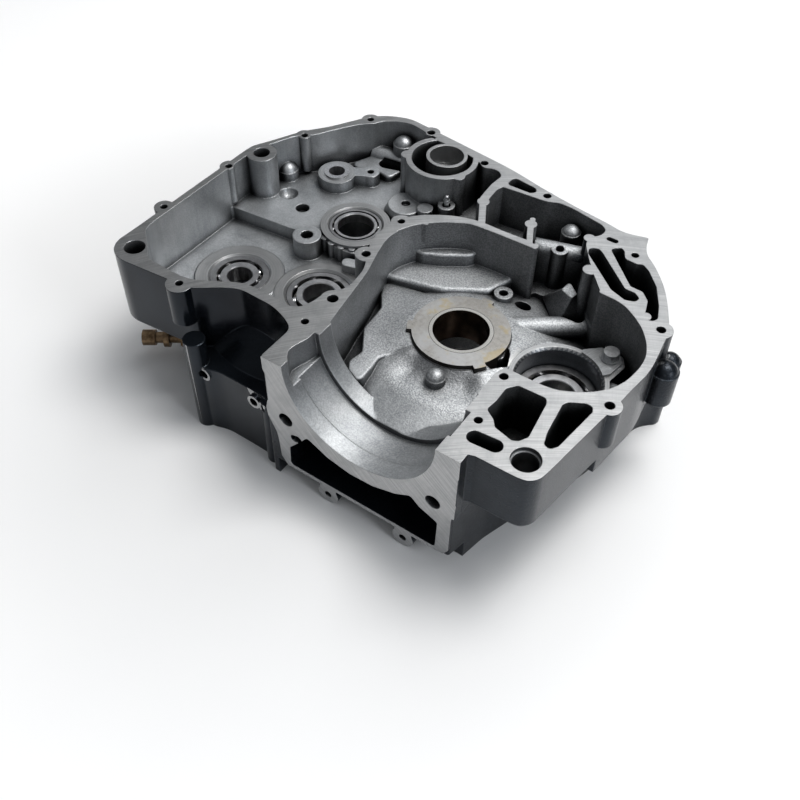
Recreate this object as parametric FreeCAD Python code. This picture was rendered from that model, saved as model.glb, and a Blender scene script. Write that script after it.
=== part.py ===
import FreeCAD, Part
import math
import os

# Inner side of one crankcase half of a single-cylinder motorcycle engine.
# Every length is in mm.  Measured places are written from the middle of the
# cylinder deck edge on the split face (X along the deck line towards the
# front mount, Y away from the deck, Z up out of the split face, so depths
# are negative).  The finished parts are moved so that the origin is the
# middle of the main bearing bore at its inner face.

V = FreeCAD.Vector

# Driving dimensions
CRANK_Y = 110.5            # crank axis from the cylinder deck
INSERT_Z = -30.0           # inner face of the main bearing insert
FLANGE_Z = -104.0          # cover flange on the outer side
WALL_BOTTOM = -51.0        # lower end of the upper side walls
BLOCK_BOTTOM = -40.0       # lower end of the front mount block
GEAR_FLOOR = -41.5         # gearbox floor round the shaft bearings
PLATFORM = -31.0           # raised gearbox floor
CRANK_FLOOR = -49.0        # lowest level of the crank chamber
SPIGOT_R = 51.0            # cylinder spigot bore
SPIGOT_LAND = 12.0         # depth of the machined land
RELIEF_R = 52.6            # cast relief behind the land
MOUTH_R = 49.2             # mouth of the crank chamber
MOUTH_Y = 32.5             # where the mouth begins
MOUTH_END = 44.0           # where the chamber walls begin
RELIEF_DEPTH = -18.0       # floor of the pocket beside the bore
HUB_R = 36.0               # top of the cone that carries the main bearing
HUB_Z = -33.0
CONE_R = 83.2              # foot of that cone
SUMP_FLOOR = -42.0         # lower floor between crank chamber and sump
SEAT_Z = -33.0             # top of the balancer bearing seat
RIM_DEPTH = -28.0          # how deep the screw bosses reach
COVER_FLOOR = -60.0        # floor of the space under the outer cover
FLOOR_WEB = 7.0            # thickness of the gearbox floors
TUNNEL_R = 63.0            # roof of the chain tunnel from the cylinder axis
TUNNEL_BOTTOM = -86.5

MAIN_XY = (0.0, CRANK_Y)
MS_XY = (-99.8, 95.2)      # gearbox main shaft
CS_XY = (-155.0, 79.6)     # gearbox counter shaft
SD_XY = (-113.9, 155.4)    # shift drum
BAL_XY = (68.5, 111.0)     # balancer shaft
SS_XY = (-155.6, 189.9)    # shift shaft

RAIL_XY = (-133.3, 126.0)  # fork rail
PAD_SCREW_XY = (-136.2, 204.5)
JET_XY = (-68.5, 199.6)    # oil jet by the ring chamber
RING_XY = (-87.0, 221.5)   # ring chamber
HUB_XY = (-85.8, 225.6)    # hub inside it
LUG_XY = (21.4, 194.8)     # lug on the cross wall in the sump
PLATE_SCREW_XY = (86.5, 143.0)

# ball bearings: bore radius, outside radius, width, ball radius
MS_BRG = (11.0, 22.0, 12.0, 3.6)
CS_BRG = (8.5, 20.0, 12.0, 3.4)
SD_BRG = (12.5, 18.5, 7.0, 1.75)
BAL_BRG = (12.5, 26.0, 15.0, 4.3)
# name, shaft, sizes, balls, top face, mouth of the seat, lead-in
BEARINGS = [
    ("mainshaft_bearing", MS_XY, MS_BRG, 9, -41.0, -38.8, 2.2),
    ("countershaft_bearing", CS_XY, CS_BRG, 8, -41.0, -39.6, 1.9),
    ("shift_drum_bearing", SD_XY, SD_BRG, 14, -29.0, -27.4, 1.4),
    ("balancer_bearing", BAL_XY, BAL_BRG, 9, -47.0, -32.6, 2.0)]
SEAT_LIP = 3.2             # shoulder under each outer ring
BALL_GAP = 0.06
RING_EDGE = 0.5            # chamfer of the bearing rings

INSERT_R = 31.0            # steel insert of the main bearing
SHAFT_R = 17.9             # bore of the bearing shell
SHELL_WALL = 2.3
SHELL_R = SHAFT_R + SHELL_WALL
INSERT_LEN = 26.0
TAB_ANGLES = (90, 207, 322)
TAB_R = 34.0               # reach, width and thickness of the tabs
TAB_W = 7.6
TAB_T = 5.5
TAB_GAP = 0.3

PAD_Z = -22.0              # top of the shift shaft pad
BUSH_R = 9.0
BUSH_WALL = 3.2
BUSH_Z = -34.0             # lower end of the bush
RING_R = 21.5              # inside of the ring chamber
RING_WALL = 3.9
RING_REAR = 238.0          # where the ring runs into the rear rim
JET_R = 1.7
JET_SEAT = -19.0
PLATE_T = 2.0
WASHER_T = 1.2
HEAD_H = 4.5

TAP_R = 2.5                # core radius of the M6 threads
STUD_R = 5.0               # cylinder stud holes
STUD_X = 51.6              # stud holes from the cylinder axis
STUD_Z = -45.5
DECK_BOTTOM = -89.5        # lower edge of the cylinder deck
DECK_SCREW_X = (-22.7, 32.7)
DECK_SCREW_Z = -96.2


# Small helpers
def P(x, y, z=0.0):
    return V(x, y - CRANK_Y, z - INSERT_Z)


def face_of(pts, k=0.46, rmax=1e9):
    # closed outline with every corner turned into a tangent arc
    n = len(pts)
    q = []
    for i in range(n):
        a, b, c = pts[i - 1], pts[i], pts[(i + 1) % n]
        la = math.hypot(b[0] - a[0], b[1] - a[1])
        lc = math.hypot(c[0] - b[0], c[1] - b[1])
        ua = ((a[0] - b[0]) / la, (a[1] - b[1]) / la)
        uc = ((c[0] - b[0]) / lc, (c[1] - b[1]) / lc)
        cosv = max(-1.0, min(1.0, ua[0] * uc[0] + ua[1] * uc[1]))
        half = math.acos(cosv) / 2
        d = k * min(la, lc)
        t = math.tan(half)
        lim = b[2] if len(b) > 2 else rmax
        if t > 1e-6:
            d = min(d, lim / t)
        if math.pi / 2 - half < 0.004 or d < 0.02:
            q.append((b[:2], None, b[:2]))
            continue
        p1 = (b[0] + ua[0] * d, b[1] + ua[1] * d)
        p2 = (b[0] + uc[0] * d, b[1] + uc[1] * d)
        bx, by = ua[0] + uc[0], ua[1] + uc[1]
        bl = math.hypot(bx, by)
        r = d * t
        s = d / math.cos(half) - r
        pm = (b[0] + bx / bl * s, b[1] + by / bl * s)
        q.append((p1, pm, p2))
    edges = []
    for i in range(n):
        p1, pm, p2 = q[i]
        nx = q[(i + 1) % n][0]
        if pm is not None:
            edges.append(Part.Arc(P(*p1), P(*pm), P(*p2)).toShape())
        if math.hypot(nx[0] - p2[0], nx[1] - p2[1]) > 1e-4:
            edges.append(Part.makeLine(P(*p2), P(*nx)))
    return Part.Face(Part.Wire(edges))


def prism(pts, z0, z1, k=0.46, rmax=1e9):
    f = face_of(pts, k, rmax)
    f.translate(V(0, 0, min(z0, z1)))
    return f.extrude(V(0, 0, abs(z1 - z0)))


def deck_prism(pts, y0, y1, rmax=1.0, k=0.46):
    # outline in the deck plane (X, Z), carried from y0 to y1
    f = face_of(pts, k, rmax)
    f.translate(V(0, CRANK_Y, INSERT_Z))
    f.rotate(V(0, 0, 0), V(1, 0, 0), 90)
    f.translate(P(0, y1))
    return f.extrude(V(0, y0 - y1, 0))


def cyl(x, y, r, z0, z1):
    z0, z1 = min(z0, z1), max(z0, z1)
    return Part.makeCylinder(r, z1 - z0, P(x, y, z0))


def cone(x, y, r0, r1, z0, z1):
    return Part.makeCone(r0, r1, z1 - z0, P(x, y, z0))


def cyl_y(x, z, r, y0, y1):
    return Part.makeCylinder(r, y1 - y0, P(x, y0, z), V(0, 1, 0))


def rod(a, b, r):
    a, b = P(*a), P(*b)
    d = b - a
    return Part.makeCylinder(r, d.Length, a, d)


def ball(x, y, z, r):
    return Part.makeSphere(r, P(x, y, z))


def box(x0, x1, y0, y1, z0, z1):
    return Part.makeBox(x1 - x0, y1 - y0, z1 - z0, P(x0, y0, z0))


def dome(x, y, r, z0, z1):
    # round boss with a domed end
    return cyl(x, y, r, z0, z1 - r * 0.7).fuse(
        ball(x, y, z1 - r * 0.97, r * 0.97).common(
            box(x - r, x + r, y - r, y + r, z1 - r, z1 + 1)))


def slot_z(ax, ay, bx, by, r, z0, z1):
    # straight rib or slot with round ends
    dx, dy = bx - ax, by - ay
    n = math.hypot(dx, dy)
    ux, uy = dx / n * r, dy / n * r
    a1, a2 = (ax - uy, ay + ux), (ax + uy, ay - ux)
    b1, b2 = (bx - uy, by + ux), (bx + uy, by - ux)
    w = Part.Wire([
        Part.Arc(P(*a1), P(ax - ux, ay - uy), P(*a2)).toShape(),
        Part.makeLine(P(*a2), P(*b2)),
        Part.Arc(P(*b2), P(bx + ux, by + uy), P(*b1)).toShape(),
        Part.makeLine(P(*b1), P(*a1))])
    f = Part.Face(w)
    f.translate(V(0, 0, min(z0, z1)))
    return f.extrude(V(0, 0, abs(z1 - z0)))


def soft_prism(pts, z0, z1, edge, rmax):
    # a prism whose upper edge is rounded
    f = prism(pts, z0, z1, rmax=rmax)
    top = max(f.BoundBox.ZMax, f.BoundBox.ZMin)
    rim = [e for e in f.Edges if e.BoundBox.ZMin > top - 0.01]
    return f.makeFillet(edge, rim)


def frustum(base, z0, top, z1, rmax):
    # a pyramid cut off level, between two outlines with as many corners
    lower, upper = face_of(base, rmax=rmax), face_of(top, rmax=rmax)
    lower.translate(V(0, 0, z0))
    upper.translate(V(0, 0, z1))
    return Part.makeLoft([lower.OuterWire, upper.OuterWire], True, True)


def union_at(reach):
    # a place on the axis of the oil line union, out from the wall
    return (UNION_AT[0] + UNION_WAY[0] * reach,
            UNION_AT[1] + UNION_WAY[1] * reach, UNION_AT[2])


def tab(angle, reach, width, depth):
    # a tab of the insert, from the bore out to its round end
    t = Part.makeBox(reach + 2, width, depth,
                     P(0, CRANK_Y - width / 2, INSERT_Z - depth))
    t.rotate(P(0, CRANK_Y, 0), V(0, 0, 1), angle)
    return t.common(cyl(0, CRANK_Y, reach, INSERT_Z - depth - 1,
                        INSERT_Z + 1))


def fuse(shapes):
    shapes = list(shapes)
    return shapes[0].multiFuse(shapes[1:]) if len(shapes) > 1 else shapes[0]


def ring(x, y, ri, ro, z0, z1):
    return cyl(x, y, ro, z0, z1).cut(cyl(x, y, ri, z0 - 1, z1 + 1))


# Outline of the split face
OUTER = [(-65.5, 0, 2), (-65.6, 27), (-74, 32), (-86, 36), (-111, 36.4),
         (-120, 32), (-128, 26), (-137, 19), (-152, 18), (-190, 14.4),
         (-199, 17.6), (-204, 26), (-203.5, 40), (-203.5, 150), (-202, 158),
         (-198, 165), (-186, 191), (-174, 206), (-160, 231), (-152, 240),
         (-144, 245), (-134, 248.6), (-128, 249), (-40, 237.6), (-10, 230),
         (20, 224.7), (40, 222), (50, 219.7), (56.7, 220.3),
         (68, 223.7, 1), (70.3, 215), (74.2, 207.5), (83.3, 200),
         (95, 186.7), (103.3, 173.3), (110, 160), (114, 152),
         (115.5, 140), (117.8, 122), (118, 112), (116, 98), (114.8, 86),
         (113.5, 76), (112.2, 69), (105.8, 21.7), (104.5, 14.5),
         (100, 9.6), (94, 8.7), (70, 8.3, 2), (66.3, 7, 1), (66.3, 0, 0.5)]

# inside of the rim round gearbox and sump
GEAR = [(-199, 50), (-197, 44), (-184, 33), (-176, 24.5), (-147, 24.4),
        (-138, 27), (-128, 33), (-117, 40), (-108, 42.4), (-92, 42.4),
        (-80, 41), (-73, 44), (-69.5, 52), (-68.5, 62), (-62, 70),
        (-60, 78), (-62, 95), (-69, 106), (-75, 121), (-75.5, 142),
        (-71, 150), (-63, 159.5), (-50, 168.5), (-40, 173), (-28.3, 175.8),
        (-8.3, 175.8), (8, 177), (16, 174), (30, 162), (50, 156),
        (66, 159.5, 1), (50.5, 177), (37.5, 195.5), (37, 203), (42, 208),
        (42.5, 215), (38, 218.6), (13.3, 223.3), (3.3, 223.4),
        (-3.3, 219.7), (-20, 218.3), (-41, 216.4, 1), (-42.6, 227),
        (-46, 230.5), (-52, 231.2), (-58, 228), (-63, 232), (-75, 237.6),
        (-93.8, 239.5), (-104, 240), (-116, 242), (-128, 244.6),
        (-138, 241.5), (-147, 235.5), (-150, 229), (-158, 222.5),
        (-171, 202), (-176, 192), (-186, 184), (-194, 166), (-199, 146)]

# lower part of the gearbox, in front of the raised floor
GEAR_LOW = [(-199, 50), (-197, 44), (-184, 33), (-176, 24.5),
            (-147, 24.4), (-138, 27), (-128, 33), (-117, 40),
            (-108, 42.4), (-92, 42.4), (-80, 41), (-73, 44), (-69.5, 52),
            (-68.5, 62), (-62, 70), (-60, 78), (-62, 95), (-69, 106),
            (-75, 121), (-75.5, 139), (-84, 138), (-92, 134),
            (-104, 130), (-118, 130.5), (-135, 135, 2), (-146.8, 129.1),
            (-199, 124, 2)]

# crank and balancer chamber behind the cylinder bore
CRANK = [(-50.6, MOUTH_END, 1), (-53.2, 59), (-55, 70), (-59, 94),
         (-64, 110), (-67.6, 126),
         (-66.4, 138), (-60, 150), (-48, 161), (-40, 166), (-33, 170),
         (-16.7, 171.3), (13.6, 172, 0.5), (14.4, 180, 2), (30, 181),
         (47, 176), (66, 158.7, 1), (76.7, 158.3), (83.3, 156.7),
         (91.7, 151.7), (100, 145), (107.5, 135), (111.7, 125),
         (112.5, 115), (110.8, 101.7), (106.7, 91.7), (100, 84),
         (93.3, 79), (83.3, 73.3), (73.3, 71.7), (59, 71.7),
         (51, 71.7, 2), (48.6, 66), (48.6, MOUTH_END, 1)]

# deep core pockets in the split face
POCKETS = [
    ([(59.2, 58.3), (63.3, 64), (80.8, 64.7), (82.8, 60.8), (86.3, 35),
      (83.3, 29.7), (80, 28), (68.3, 30.8), (65, 35), (58.3, 39.2),
      (59.4, 48)], -36),
    ([(90, 65.8), (91.7, 69), (100, 73.7), (104.2, 73.7), (105.8, 70),
      (102, 38.3), (99, 34), (95, 35.3), (92.6, 44)], -36),
    ([(-34.2, 230.8), (-16.7, 228.3), (-13.8, 225), (-16.7, 221.3),
      (-35.3, 220.8)], -40),
    ([(41.3, 193.3), (46.7, 195.8), (50.8, 193.3), (76.7, 170.8),
      (83.3, 170.8), (88, 167.5), (86.7, 163.3), (80.8, 161.3),
      (70, 165), (43.3, 187.5)], -40),
    ([(52.5, 200), (58.3, 205), (61.3, 202.5), (64.5, 196.5),
      (72.5, 196), (76, 198), (81.7, 194.2), (91.7, 183.3),
      (100, 168.3), (104.2, 157.5), (102, 153.3), (97, 154),
      (94.5, 162.5), (92.7, 168.3), (86.7, 174.2), (78.5, 174.4)], -40),
]

# screw places in the split face: x, y, core radius, boss radius, depth
RIM_SCREWS = [(-144.6, 19, TAP_R, 8.4, 20), (-204.4, 68.6, TAP_R, 6.5, 20),
              (-200.4, 127.6, TAP_R, 6.2, 20), (-181.6, 187.4, TAP_R, 6.5, 20),
              (-155.4, 231.6, TAP_R, 6.6, 20), (-110.4, 243.2, 3.0, 6.6, 20),
              (-59.8, 233.2, 2.8, 5.6, 20), (-6.2, 225.3, 2.8, 4.4, 20),
              (68.3, 203, TAP_R, 7.3, 20), (109.5, 150.2, 2.9, 7.2, 24),
              (111.2, 79.7, 3.0, 7.1, 24)]
WALL_SCREWS = [(58.7, 30, TAP_R, 5.0, 20), (53.7, 65.3, 2.7, 5.9, 20),
               (-62.6, 36.4, TAP_R, 5.0, 20), (-61.4, 61.4, 3.5, 7.5, 24),
               (-69.4, 106.4, 3.0, 7.0, 24), (-70, 146, TAP_R, 6.6, 24)]
SCREWS = RIM_SCREWS + WALL_SCREWS
INNER_STEP = 2.6           # rim bosses stand out less on the inside

MOUNT_A = (-190.5, 28.0, 6.8, 12.0)      # lower rear mount
MOUNT_B = (-192.6, 153.0, 5.8, 10.5)     # upper rear mount
MOUNT_C = (92.5, 21.3, 7.4)              # front mount

# oil tubes that end on the shoulder: x, outside radius
OIL_TUBES = [(-122.5, 5.0), (-82.0, 4.8), (-74.2, 4.0)]
OIL_TUBE_Z = -54.5

# outer flange screws: x, y, boss radius, top of the boss
COVER_SCREWS = [(-129.5, 9, 7, -30), (-186, 75, 7, -60),
                (-179, 172, 7, -60), (-150, 229, 7, -60),
                (-60, 231, 7, -60), (30, 216, 7, -60),
                (111, 180, 7.5, -60)]

# oil line union: foot on the rear wall, heading and sizes
UNION_AT = (-177.5, 54.0, -92.0)
UNION_WAY = (-0.815, -0.58)
UNION_R = 4.9
UNION_HEX = 7.5            # across the corners, halved
UNION_THREAD = 12.0
UNION_BOSS = 6.0

# cylinder deck outline (X, Z)
DECK = [(-65.5, 0, 0.5), (-65.3, -10), (-62.7, -16), (-60, -23),
        (-60, -30), (-64.7, -36.7), (-66, -43), (-65.3, -50),
        (-62, -56.7), (-59.6, -62), (-58.7, -70), (-58, -83), (-54, -89),
        (-48, -89.5), (55, -89.5), (60.7, -88.7), (64, -83), (64, -52.7),
        (65.7, -46), (66.3, -38), (57, -30), (61.3, -16), (66.3, -15),
        (66.3, 0, 0.5)]

# outer-side housing below the walls
LOW = [(-66, 1, 2), (-72, 8.5), (-90, 9), (-112, 9), (-122, 5.5),
       (-131, 6), (-137, 13), (-150, 27), (-170, 42), (-184, 60),
       (-186, 90), (-183, 130), (-180, 165), (-172, 198), (-156, 224),
       (-132, 240), (-60, 233), (0, 222), (50, 212), (84, 197),
       (104, 189), (116, 184, 3), (117, 176, 3), (108, 166), (104, 140),
       (98, 112), (90, 86), (80, 62), (70, 32), (64, 1, 2)]

# Outer body
body = [prism(OUTER, WALL_BOTTOM, 0),
        prism(LOW, FLANGE_Z, WALL_BOTTOM + 2, rmax=40)]
body[0] = body[0].cut([
    box(66.6, 130, -5, 74, WALL_BOTTOM - 1, BLOCK_BOTTOM)])
for x, y, core, outside, depth in SCREWS:
    body.append(cyl(x, y, outside, RIM_DEPTH, 0))
body.append(cyl(MOUNT_A[0], MOUNT_A[1], MOUNT_A[3], WALL_BOTTOM, 0))
body.append(deck_prism(DECK, 0, 14))
body.append(deck_prism([(-58, -45), (-57, -84), (-53, DECK_BOTTOM),
                        (55, DECK_BOTTOM), (61, -84), (62, -45)], 0, 60))
# flared shoulder over the clutch side, cut flat at the front
flare = cone(MS_XY[0], 92, 84, 54, -60, -26).common(
    box(-136, -62, 9, 60, -60, -26))
body.append(flare)
# column and screw bosses of the outer flange
body.append(cyl(-72, 10, 6, FLANGE_Z, -50))
for x, y, r, top in COVER_SCREWS:
    body.append(cyl(x, y, r, FLANGE_Z, top))
# domed ends of two cover screw bosses outside the balancer wall
body.append(dome(120.6, 141.5, 8.6, -43, -14))
body.append(dome(118.5, 156, 7.0, -46, -20))
# short tubes that end on the shoulder
for x, r in OIL_TUBES:
    body.append(cyl_y(x, OIL_TUBE_Z, r, 5.5, 30))
# boss of the oil line union on the rear wall
body.append(rod(union_at(-9), union_at(UNION_BOSS), 9.5))
case = fuse(body).cut(
    box(-62, 80, -2, 14, FLANGE_Z - 1, DECK_BOTTOM))
# deck screw bosses under the chain tunnel
bosses = []
for x in DECK_SCREW_X:
    bosses.append(cyl_y(x, DECK_SCREW_Z, 7.4, 0, 22))
    bosses.append(box(x - 6, x + 6, 0, 22, DECK_SCREW_Z, DECK_BOTTOM + 1.5))
case = fuse([case] + bosses)

# Crank chamber: the mouth follows the bore, and the floor is a wide cone
crank_room = fuse([prism(CRANK, CRANK_FLOOR, 1),
                   cyl_y(0, 0, MOUTH_R, MOUTH_Y, MOUTH_END + 2)])
floor_forms = [
    cone(0, CRANK_Y, CONE_R, HUB_R, CRANK_FLOOR - 1, HUB_Z),
    # plateau on the gearbox side
    soft_prism([(-45.5, 54), (-41.4, 47.5), (-29.4, 42.2), (-30.2, 57.3),
                (-31.5, 66.8), (-24.6, 76.4), (-12, 84), (0, 104), (0, 140),
                (-33.6, 134.6), (-70, 127), (-64, 114), (-56.8, 104.2),
                (-54.9, 82.2), (-43.4, 64.8)], CRANK_FLOOR - 1, -36.5,
               1.5, rmax=5),
    # shelf along the rear wall and the core ledge on it
    soft_prism([(-72, 125), (-62.6, 127.5), (-30.4, 136.3), (-4.8, 152.8),
                (-1.5, 163), (3, 176), (-40, 178), (-78, 150)],
               CRANK_FLOOR - 1, -31, 3.0, rmax=8),
    soft_prism([(-63, 149), (-55, 149.5), (-43, 155.5), (-30, 164.5),
                (-25.5, 170), (-30, 177), (-50, 173), (-66, 158)],
               CRANK_FLOOR - 1, -21.6, 2.0, rmax=6),
    # scoop that carries the mouth into the front right corner
    box(14, 62, MOUTH_END, 69, CRANK_FLOOR - 1, -20).cut(
        Part.makeCone(MOUTH_R, MOUTH_R + 12, 26, P(0, MOUTH_END, 0),
                      V(0, 1, 0))),
    # boss on the cone and the eyelet beside the insert
    dome(6.6, 71.5, 6.4, CRANK_FLOOR - 1, -29.5),
    cyl(3.4, 157, 6.2, CRANK_FLOOR - 1, -31.5),
    # tube of the oil gallery to the balancer side
    rod((20, 140, -40), (62, 170, -40), 7.0),
    prism([(22, 132), (33, 141), (42, 136), (46, 141), (60, 146),
           (60, 100), (32, 112)], CRANK_FLOOR - 1, -38, rmax=4),
    # balancer bearing seat and the pad under its retainer plate
    cone(BAL_XY[0], BAL_XY[1], 32, 30.4, CRANK_FLOOR - 1, SEAT_Z),
    prism([(69, 139), (77, 150), (92, 150.5), (97, 143), (94, 126),
           (86, 120)], CRANK_FLOOR - 1, SEAT_Z, rmax=4),
    cyl(97, 125, 5.0, CRANK_FLOOR - 1, SEAT_Z - 3)]
crank_room = crank_room.cut(floor_forms)

# Chambers
cut = [prism(GEAR, PLATFORM, 1),
       prism(GEAR_LOW, GEAR_FLOOR, 1),
       crank_room,
       # cylinder bore: machined land, cast relief and a pocket beside it
       cyl_y(0, 0, SPIGOT_R, -1, SPIGOT_LAND),
       cyl_y(0, 0, RELIEF_R, SPIGOT_LAND, MOUTH_Y),
       prism([(-50, 5, 1), (-53, 8), (-56, 13), (-55.3, 18), (-52.8, 26),
              (-51.6, MOUTH_Y, 0.5), (-40, MOUTH_Y), (-40, 5)],
             RELIEF_DEPTH, 1)]
# lower floor by the balancer and the gap at the end of the crank wall
cut.append(prism([(10, 178.5), (6, 190), (4, 208), (14, 216), (33, 212),
                  (36, 196), (50, 177), (62, 162), (40, 160), (16, 176)],
                 SUMP_FLOOR, -20))
for pts, z in POCKETS:
    cut.append(prism(pts, z, 1, rmax=3.0))
cut.append(slot_z(63.2, 19.0, 74.8, 20.0, 4.5, -36, 1))

# chain tunnel behind the deck
arc = [(TUNNEL_R * math.sin(math.radians(a)),
        -TUNNEL_R * math.cos(math.radians(a)))
       for a in (-35, -20, -5, 10, 25, 36)]
tunnel = [(-50.5, -70), (-51, TUNNEL_BOTTOM), (55, TUNNEL_BOTTOM),
          (55.5, -62), (48.7, -59), (43.3, -56.7)] + arc[::-1]
tunnel.append((-46, -64.5))
cut.append(deck_prism(tunnel, -1, 62, rmax=2.5))

# outer side: open clutch and timing space inside the cover flange
LOW_IN = [(-60, 44), (-66, 16), (-110, 15.5), (-124, 13), (-132, 18),
          (-146, 33), (-166, 48), (-177, 64), (-180, 92), (-177, 130),
          (-174, 162), (-166, 194), (-152, 217), (-131, 233),
          (-60, 226.5), (0, 215.5), (48, 205.5), (81, 191), (99, 182),
          (102, 168), (98, 142), (92, 114), (84, 88), (74, 64),
          (62, 44)]
under = [prism(LOW_IN, FLANGE_Z - 1, COVER_FLOOR, rmax=20),
         # thin webs under the gearbox floors
         prism([(-180, 128), (-180, 160), (-168, 192), (-152, 214),
                (-132, 228), (-112, 226), (-112, 190), (-84, 178),
                (-84, 146), (-100, 136), (-130, 136)],
               COVER_FLOOR - 1, PLATFORM - FLOOR_WEB, rmax=8),
         prism([(-176, 66), (-180, 116), (-146, 120), (-90, 126),
                (-78, 118), (-66, 78), (-74, 62), (-96, 50),
                (-120, 48), (-150, 44)],
               COVER_FLOOR - 1, GEAR_FLOOR - FLOOR_WEB, rmax=8),
         prism([(-36, 184), (-100, 205), (-100, 222), (-46, 222),
                (-30, 214), (0, 214), (0, 184)],
               COVER_FLOOR - 1, PLATFORM - FLOOR_WEB, rmax=6)]
# walls of the bearing seats stay whole
keep = [cyl(x, y, r, COVER_FLOOR - 8, -30)
        for (x, y), r in ((MS_XY, 27), (CS_XY, 25), (SD_XY, 23),
                          (SS_XY, 11), (MAIN_XY, 37), (BAL_XY, 29))]
cut.append(fuse(under).cut(keep))
case = case.cut(cut)

# Walls, bosses and ribs inside
add = []
# screw bosses and the upper rear mount, where the chambers cut them
for x, y, core, outside, depth in RIM_SCREWS:
    add.append(cyl(x, y, outside - INNER_STEP, RIM_DEPTH, 0))
for x, y, core, outside, depth in WALL_SCREWS:
    add.append(cyl(x, y, outside, RIM_DEPTH, 0).cut(crank_room))
add.append(cyl(MOUNT_B[0], MOUNT_B[1], MOUNT_B[3], PLATFORM - 1, 0))
# machined tab on the crank wall
add.append(prism([(-60, 151), (-62, 152.6), (-64.6, 157.2),
                  (-60.6, 161.5), (-55.6, 157.9), (-54, 153)],
                 -14, 0, rmax=1.5))
# raised seats round the gearbox bearings
add.append(cone(MS_XY[0], MS_XY[1], 32.5, 29.5, GEAR_FLOOR - 1, -39.3))
add.append(cone(CS_XY[0], CS_XY[1], 31.5, 29.5, GEAR_FLOOR - 1, -40.2))
add.append(cyl(SD_XY[0], SD_XY[1], 24.2, GEAR_FLOOR - 1, -27.8))
# notched edge below the shift drum
for a in (228, 246, 264, 282, 300):
    add.append(cyl(SD_XY[0] + 24.5 * math.cos(math.radians(a)),
                   SD_XY[1] + 24.5 * math.sin(math.radians(a)),
                   2.4, GEAR_FLOOR - 1, -29.5))
# fork rail boss
add.append(cyl(RAIL_XY[0], RAIL_XY[1], 9.8, GEAR_FLOOR - 1, -27))
# shift shaft pad, its screw lobe and the step behind them
add.append(cyl(SS_XY[0], SS_XY[1], 13.5, -35, PAD_Z))
add.append(cyl(PAD_SCREW_XY[0], PAD_SCREW_XY[1], 6.5, -35, PAD_Z))
add.append(slot_z(-150, 196, -139, 202, 5.0, -35, PAD_Z))
add.append(soft_prism([(-160, 206), (-134, 212), (-124, 211),
                       (-121, 228), (-150, 231)], -35, -26, 2.0, rmax=5))
# dome, half-round core and mound in the rear corner
add.append(dome(-130.5, 238, 7.6, -35, -8.5))
add.append(rod((-152, 232, -28), (-122, 236, -28), 7.5))
add.append(dome(-189, 175.5, 7.4, -35, -19))
add.append(cone(-96, 190.5, 15.5, 12.5, -32, -24))
# bosses of the oil jet and the stop, with gussets to the crank wall
add.append(cyl(JET_XY[0], JET_XY[1], 6.0, -35, JET_SEAT))
add.append(cyl(-80, 190.5, 5.5, -35, -21))
add.append(slot_z(-68, 199, -60, 180, 4.0, -35, -24))
add.append(slot_z(-80, 190, -70, 172, 4.5, -35, -26))
# bracket rib in front of the shift drum
add.append(slot_z(-98, 124.5, -88, 127.5, 4.0, GEAR_FLOOR - 1, -33))
# ring chamber and the hub inside it
rx, ry = RING_XY
ring_wall = ring(rx, ry, RING_R, RING_R + RING_WALL, -33, 0)
for x, y in ((-109, 211), (-66.4, 210)):
    ring_wall = ring_wall.fuse(cyl(x, y, 4.6, -33, 0))
ring_wall = ring_wall.cut([cyl(rx, ry, RING_R - 0.1, -34, 1),
                           box(rx - 28, rx + 27, RING_REAR, ry + 31, -34, 1)])
add.append(ring_wall)
add.append(cyl(HUB_XY[0], HUB_XY[1], 14.5, -33, 0))
# rim between the hub and the rear rim
add.append(prism([(-104, 237.5), (-84, 237.2), (-64, 233),
                  (-60, RING_REAR), (-104, RING_REAR + 5)], -33, 0,
                 rmax=1.5))
# rib from the rear rim to the crank wall
add.append(prism([(-36.2, 234.5), (-41.5, 236), (-43.2, 215),
                  (-42.6, 206), (-41.6, 196), (-35.6, 194), (-36.6, 204),
                  (-37.2, 212), (-35.4, 217)], -33, 0, rmax=6))
add.append(cyl(-37.8, 195.2, 4.1, -33, 0))
add.append(slot_z(-37.4, 194, -27.2, 175.5, 2.3, -33, 0))
# free rib with its head
add.append(cyl(-0.4, 192.6, 4.0, SUMP_FLOOR - 1, 0))
add.append(cyl(-1.8, 197.4, 1.9, SUMP_FLOOR - 1, 0))
add.append(slot_z(0.3, 191, 8.6, 174.5, 2.0, SUMP_FLOOR - 1, 0))
# lobes on the diagonal wall
add.append(cyl(37.2, 201.8, 3.8, SUMP_FLOOR - 1, 0))
add.append(cyl(51.2, 174.2, 4.4, SUMP_FLOOR - 1, 0))
# inner shoulder of the pocket by the balancer
add.append(cyl(97.4, 155.6, 3.2, -41, 0))
add.append(slot_z(71.5, 204.4, 68, 201, 2.4, -41, 0))
# domed boss, cross wall with its round top, lug and hump in the sump
add.append(dome(18.6, 216.2, 6.6, SUMP_FLOOR - 1, -8))
add.append(slot_z(4, 193.5, 35, 203, 5.9, SUMP_FLOOR - 1, -17))
add.append(rod((4, 193.5, -17), (35, 203, -17), 6.0))
add.append(cyl(LUG_XY[0], LUG_XY[1], 5.6, SUMP_FLOOR - 1, -12))
add.append(frustum([(38, 195), (53.5, 171), (42, 158.5), (20, 181)],
                   SUMP_FLOOR - 1,
                   [(37.5, 181), (46.6, 173.5), (45.8, 168),
                    (36.5, 171.5)], -22, 1.5))
# front end of the crank wall
add.append(cyl(12.6, 174.4, 2.3, SUMP_FLOOR - 2, 0))
case = fuse([case] + add)

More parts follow.
